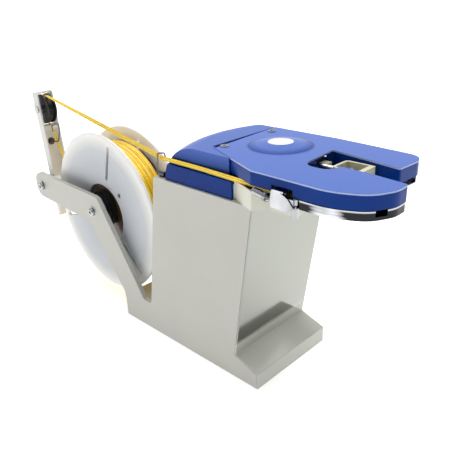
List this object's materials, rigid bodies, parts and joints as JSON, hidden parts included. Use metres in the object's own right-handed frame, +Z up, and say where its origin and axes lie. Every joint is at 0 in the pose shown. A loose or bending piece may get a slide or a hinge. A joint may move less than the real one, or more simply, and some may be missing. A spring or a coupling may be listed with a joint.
{
  "type": "semi automatic strapping machine",
  "caption": "Bench-top ribbon strapping machine: upright housing with a two-prong tying head, sprung tension arm and a ribbon spool carried on rear arms.",
  "frame": {"origin": "centre of the housing base's under side", "axes": "+X from the ribbon spool at the back towards the jaws at the front, +Z up, the ribbon runs along the -Y side"},
  "size_m": [0.5504, 0.1392, 0.2636],
  "materials": {
    "grey_plate_paint": "satin powder coat on cut plate",
    "grey_front_paint": "semi-gloss paint on folded sheet",
    "zinc_plate": "zinc-plated sheet",
    "black_inlet_plastic": "moulded black plastic",
    "rocker_plastic": "glossy black plastic",
    "power_supply_case": "folded aluminium case",
    "board_laminate": "green glass laminate",
    "turned_steel": "turned steel",
    "black_hub_plastic": "turned black plastic",
    "spool_plastic": "milky moulded plastic",
    "core_board": "grey-brown tube",
    "gold_ribbon": "golden ribbed plastic ribbon with a wire core",
    "bright_fasteners": "nickel-plated",
    "spacer_tube": "turned aluminium",
    "cream_blocks": "white plastic",
    "spring_steel": "oiled spring steel",
    "blue_cover": "glossy blue-violet plastic",
    "badge_white": "plain white badge",
    "blue_rear_cover": "glossy blue-violet plastic",
    "cream_tray": "cream gloss paint",
    "polished_jaw": "polished plate",
    "cream_trigger": "cream moulded plastic",
    "hardened_needle": "ground steel",
    "motor_can": "black painted can",
    "gear_brass": "cut brass",
    "bearing_plastic": "white bearing plastic"
  },
  "bodies": {
    "housing": {"arm_pivot_shaft": "turned_steel", "arm_screws": "bright_fasteners", "arm_spring": "spring_steel", "base_plate": "zinc_plate", "control_board": "board_laminate", "cover_badge": "badge_white", "cover_screws": "bright_fasteners", "drive_motor": "motor_can", "front_cover": "blue_cover", "front_panel": "grey_front_paint", "head_tray": "cream_tray", "inlet_wire_guide": "bright_fasteners", "jaw_plate": "polished_jaw", "pivot_bush": "black_hub_plastic", "pivot_posts": "turned_steel", "power_inlet": "black_inlet_plastic", "power_supply": "power_supply_case", "rear_cover": "blue_rear_cover", "rear_panel": "grey_front_paint", "ribbon_feed_run": "gold_ribbon", "ribbon_spool_run": "gold_ribbon", "ribbon_top_run": "gold_ribbon", "roller_bracket": "polished_jaw", "side_plate_far": "grey_plate_paint", "side_plate_near": "grey_plate_paint", "spool_axle": "turned_steel", "spool_hub": "black_hub_plastic", "spring_barrel": "polished_jaw", "switch_body": "black_inlet_plastic", "trigger_guide": "cream_trigger", "trigger_switch": "black_inlet_plastic", "tube_spacers": "spacer_tube", "twist_motor": "motor_can", "twister_bearings": "bearing_plastic"},
    "spool": {"spool_flanges": "spool_plastic", "spool_core": "core_board", "ribbon_coil": "gold_ribbon"},
    "tension_arm": {"tension_arm": "grey_plate_paint", "arm_cross_blocks": "cream_blocks", "arm_wire_guide": "bright_fasteners", "pulley_axle": "turned_steel", "ribbon_pulley_wrap": "gold_ribbon"},
    "pulley": {"guide_pulley": "black_hub_plastic"},
    "drive_gear": {"drive_gear": "gear_brass", "drive_gear_shaft": "turned_steel"},
    "motor_rotor": {"motor_pinion": "turned_steel"},
    "idler": {"idler_gear": "gear_brass"},
    "needle": {"needle_pinion": "turned_steel", "needle_arm": "hardened_needle"},
    "twister": {"twister_shaft": "turned_steel", "twister_hook": "hardened_needle"},
    "twist_rotor": {"twist_motor_gear": "gear_brass"},
    "trigger": {"trigger_loop": "cream_trigger"},
    "ribbon_roller": {"ribbon_roller": "hardened_needle"},
    "pressure_lever": {"pressure_lever": "polished_jaw"},
    "pressure_roller": {"pressure_roller": "hardened_needle"},
    "rocker": {"switch_rocker": "rocker_plastic"},
    "adjuster_nut": {"adjuster_nut": "polished_jaw"}
  },
  "joints": [
    {"name": "spool_spin", "type": "hinge", "parent": "housing", "child": "spool", "pos_m": [-0.16348, 0, 0.1226], "axis": [0, 1, 0], "continuous": true},
    {"name": "arm_swing", "type": "hinge", "parent": "housing", "child": "tension_arm", "pos_m": [-0.28547, 0, 0.13705], "axis": [0, 1, 0], "range_deg": [0, 30], "stiffness_Nm_per_rad": 0.3, "springref_deg": -28.65, "deforming": ["ribbon_top_run", "ribbon_spool_run", "arm_spring"]},
    {"name": "pulley_spin", "type": "hinge", "parent": "tension_arm", "child": "pulley", "pos_m": [-0.2966, 0, 0.23945], "axis": [0, 1, 0], "continuous": true},
    {"name": "drive_gear_turn", "type": "hinge", "parent": "housing", "child": "drive_gear", "pos_m": [0.08692, -0.022, 0.21], "axis": [0, 0, 1], "range_deg": [0, 12.8]},
    {"name": "motor_turn", "type": "hinge", "parent": "housing", "child": "motor_rotor", "pos_m": [0.05992, -0.022, 0.21], "axis": [0, 0, 1], "range_deg": [-36.6, 0]},
    {"name": "idler_turn", "type": "hinge", "parent": "housing", "child": "idler", "pos_m": [0.12086, -0.02401, 0.21], "axis": [0, 0, 1], "range_deg": [-18.3, 0]},
    {"name": "needle_swing", "type": "hinge", "parent": "housing", "child": "needle", "pos_m": [0.13992, -0.035, 0.224], "axis": [0, 0, 1], "range_deg": [0, 32.01]},
    {"name": "twister_spin", "type": "hinge", "parent": "housing", "child": "twister", "pos_m": [0.11, 0.005, 0.2335], "axis": [1, 0, 0], "continuous": true},
    {"name": "twist_motor_spin", "type": "hinge", "parent": "housing", "child": "twist_rotor", "pos_m": [0.0459, 0.013, 0.2275], "axis": [1, 0, 0], "continuous": true},
    {"name": "trigger_slide", "type": "slide", "parent": "housing", "child": "trigger", "axis": [-1, 0, 0], "range_m": [0, 0.005], "stiffness_N_per_m": 200, "springref_m": -0.005},
    {"name": "ribbon_roller_spin", "type": "hinge", "parent": "housing", "child": "ribbon_roller", "pos_m": [0.14792, -0.05165, 0.227], "axis": [0, 0, 1], "continuous": true},
    {"name": "pressure_lever_swing", "type": "hinge", "parent": "housing", "child": "pressure_lever", "pos_m": [0.16092, -0.0652, 0.225], "axis": [0, 0, 1], "range_deg": [0, 12], "stiffness_Nm_per_rad": 0.2, "springref_deg": -17.19},
    {"name": "pressure_roller_spin", "type": "hinge", "parent": "pressure_lever", "child": "pressure_roller", "pos_m": [0.14792, -0.06365, 0.227], "axis": [0, 0, 1], "continuous": true},
    {"name": "rocker_tilt", "type": "hinge", "parent": "housing", "child": "rocker", "pos_m": [-0.1085, -0.004, 0.0155], "axis": [0, 1, 0], "range_deg": [-10, 0]},
    {"name": "adjuster_turn", "type": "hinge", "parent": "housing", "child": "adjuster_nut", "pos_m": [0.13175, -0.06839, 0.2242], "axis": [0.9708, -0.2398, 0], "continuous": true}
  ],
  "couplings": [
    {"joint": "motor_turn", "follows": "drive_gear_turn", "ratio": -2.8571},
    {"joint": "idler_turn", "follows": "drive_gear_turn", "ratio": -1.4286},
    {"joint": "needle_swing", "follows": "drive_gear_turn", "ratio": 2.5},
    {"joint": "twist_motor_spin", "follows": "twister_spin", "ratio": -1}
  ]
}
